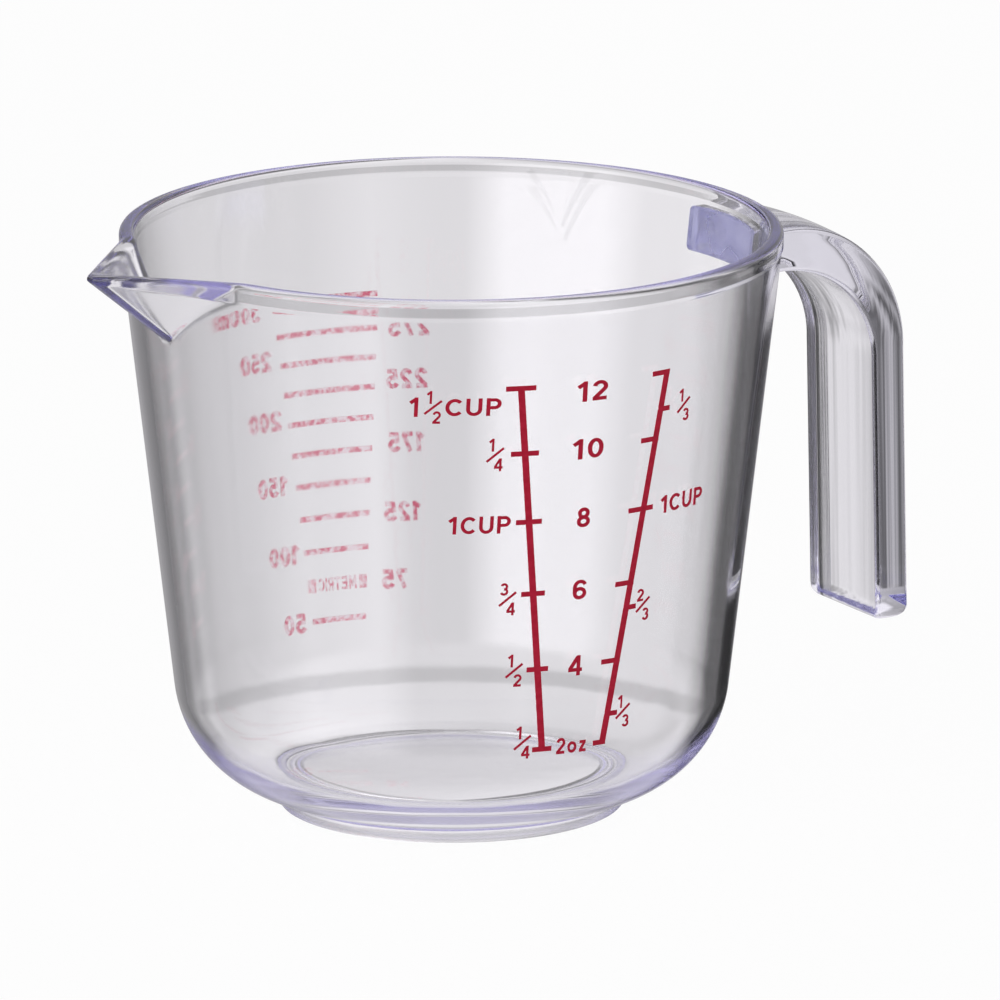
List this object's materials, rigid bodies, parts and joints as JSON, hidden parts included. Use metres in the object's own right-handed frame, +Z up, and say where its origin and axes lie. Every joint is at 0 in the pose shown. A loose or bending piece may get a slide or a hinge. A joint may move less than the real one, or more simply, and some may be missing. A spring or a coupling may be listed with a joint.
{
  "type": "measuring jug",
  "caption": "Clear plastic measuring jug: tapered bowl on a foot ring, flat-sided pouring spout, open hook handle opposite it, and red graduated scales printed on both sides of the wall.",
  "frame": {"origin": "on the table, in the jug's plane of symmetry, half way between the spout's tip and the handle's outer face", "axes": "+X towards the handle, -X towards the spout, +Z up from the foot ring to the rim"},
  "size_m": [0.1308, 0.0962, 0.0856],
  "materials": {
    "clear_plastic": "clear, polished, with a faint violet tint in thick places",
    "red_ink": "opaque printed ink"
  },
  "bodies": {
    "root": {"vessel": "clear_plastic", "handle": "clear_plastic", "cup_scale": "red_ink", "ounce_scale": "red_ink", "metric_bar_50": "red_ink", "metric_bar_100": "red_ink", "metric_bar_125": "red_ink", "metric_bar_150": "red_ink", "metric_bar_175": "red_ink", "metric_bar_200": "red_ink", "metric_bar_225": "red_ink", "metric_bar_250": "red_ink", "metric_bar_275": "red_ink", "metric_bar_300": "red_ink"}
  },
  "joints": []
}
